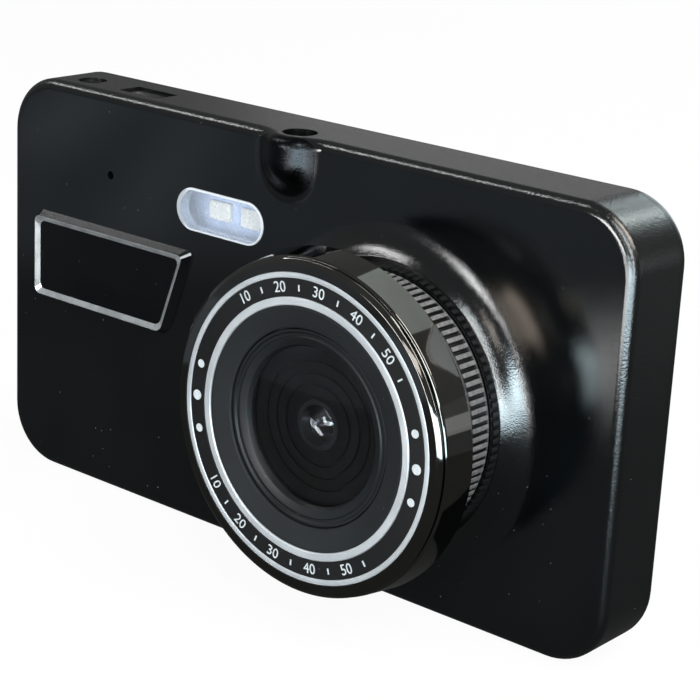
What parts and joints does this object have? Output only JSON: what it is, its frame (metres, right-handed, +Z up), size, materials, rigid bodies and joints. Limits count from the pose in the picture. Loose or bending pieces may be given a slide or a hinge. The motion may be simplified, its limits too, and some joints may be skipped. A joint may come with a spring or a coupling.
{
  "type": "dash camera",
  "caption": "Slim rounded dash camera with a large ridged lens head on its front, a screen and keys on its back, and a threaded bracket socket in its top edge.",
  "frame": {"origin": "middle of the overall box, on the surface that the case stands on", "axes": "+X to the right as seen from the front, -Y the way the lens looks, +Z up"},
  "size_m": [0.11, 0.03, 0.06],
  "materials": {
    "case_front": "blue-black semi-gloss moulded plastic with a fine grain",
    "case_back": "black fine-grained plastic",
    "key_plastic": "satin black plastic",
    "screen_glass": "dark polished window",
    "foam": "black foam",
    "lcd": "dark display glass",
    "tray": "white moulded tray",
    "ribbon": "amber film",
    "socket_plastic": "cream connector plastic",
    "board": "green solder mask",
    "chip": "black moulded packages",
    "tin": "tinned sheet",
    "cell_foil": "grey foil-wrapped cell",
    "pad": "adhesive pad",
    "lead": "red insulated lead",
    "speaker_body": "black speaker box",
    "black_insulator": "black insulating plastic",
    "card": "black card",
    "switch": "dark switch body",
    "led_board": "white board",
    "led": "pale lamp body",
    "pin": "gold-plated pins",
    "light_cover": "frosted pale blue cover",
    "badge_metal": "silver-plated plastic with dark sides",
    "badge_black": "gloss black panel",
    "brass_insert": "turned brass",
    "barrel_black": "gloss black plastic",
    "ring_black": "satin black ridged plastic",
    "bezel_plating": "dark bronze plating on plastic",
    "trim_silver": "silver satin plating on plastic",
    "dial_black": "black satin dial",
    "cone_grey": "dark grey matt plastic",
    "ink": "white print",
    "front_glass": "coated polished glass",
    "seal": "black rubber",
    "lens_glass": "coated lens",
    "filter_glass": "red filter",
    "sensor": "sensor package",
    "screw_dark": "blackened screws",
    "screw_steel": "plated screws"
  },
  "bodies": {
    "case": {"front_housing": "case_front", "rear_cover": "case_back", "screen_window": "screen_glass", "screen_gasket": "foam", "lcd_panel": "lcd", "lcd_frame": "tray", "lcd_ribbon": "ribbon", "ribbon_socket": "socket_plastic", "main_board": "board", "board_chips": "chip", "shield_can": "tin", "battery": "cell_foil", "battery_pad": "pad", "battery_leads": "lead", "speaker": "speaker_body", "microphone": "tin", "usb_shell": "tin", "usb_tongue": "black_insulator", "av_jack": "black_insulator", "card_socket": "tin", "key_switches": "switch", "reset_switch": "switch", "led_board": "led_board", "led_chips": "led", "led_pins": "pin", "light_window": "light_cover", "badge_frame": "badge_metal", "badge_panel": "badge_black", "bracket_insert": "brass_insert", "lens_barrel": "barrel_black", "bezel_ring": "bezel_plating", "outer_trim_ring": "trim_silver", "dial_ring": "dial_black", "inner_trim_ring": "trim_silver", "inner_cone": "cone_grey", "dial_marks": "ink", "lens_retainer": "cone_grey", "front_glass": "front_glass", "glass_seal": "seal", "lens_baffle": "ring_black", "lens_holder": "black_insulator", "ir_filter": "filter_glass", "image_sensor": "sensor", "case_screws": "screw_dark", "board_screws": "screw_steel", "barrel_screws": "screw_steel", "holder_screws": "screw_steel"},
    "focus": {"focus_ring": "ring_black", "lens_cell": "ring_black", "front_element": "lens_glass", "rear_element": "lens_glass"},
    "power_key": {"power_key": "key_plastic"},
    "menu_key": {"menu_key": "key_plastic"},
    "mode_key": {"mode_key": "key_plastic"},
    "up_key": {"up_key": "key_plastic"},
    "ok_key": {"ok_key": "key_plastic"},
    "down_key": {"down_key": "key_plastic"},
    "reset_plunger": {"reset_plunger": "black_insulator"},
    "memory_card": {"memory_card": "card"}
  },
  "joints": [
    {"name": "focus_turn", "type": "hinge", "parent": "case", "child": "focus", "pos_m": [0.0195, 0, 0.0279], "axis": [0, -1, 0], "range_deg": [-30, 30]},
    {"name": "power_press", "type": "slide", "parent": "case", "child": "power_key", "axis": [0, -1, 0], "range_m": [0, 0.0003], "stiffness_N_per_m": 2000},
    {"name": "menu_press", "type": "slide", "parent": "case", "child": "menu_key", "axis": [0, -1, 0], "range_m": [0, 0.0003], "stiffness_N_per_m": 2000},
    {"name": "mode_press", "type": "slide", "parent": "case", "child": "mode_key", "axis": [0, -1, 0], "range_m": [0, 0.0003], "stiffness_N_per_m": 2000},
    {"name": "up_press", "type": "slide", "parent": "case", "child": "up_key", "axis": [0, -1, 0], "range_m": [0, 0.0003], "stiffness_N_per_m": 2000},
    {"name": "ok_press", "type": "slide", "parent": "case", "child": "ok_key", "axis": [0, -1, 0], "range_m": [0, 0.0003], "stiffness_N_per_m": 2000},
    {"name": "down_press", "type": "slide", "parent": "case", "child": "down_key", "axis": [0, -1, 0], "range_m": [0, 0.0003], "stiffness_N_per_m": 2000},
    {"name": "reset_press", "type": "slide", "parent": "case", "child": "reset_plunger", "axis": [0, 1, 0], "range_m": [0, 0.00025], "stiffness_N_per_m": 2000},
    {"name": "card_slide", "type": "slide", "parent": "case", "child": "memory_card", "axis": [-1, 0, 0], "range_m": [-0.0006, 0.012]}
  ]
}
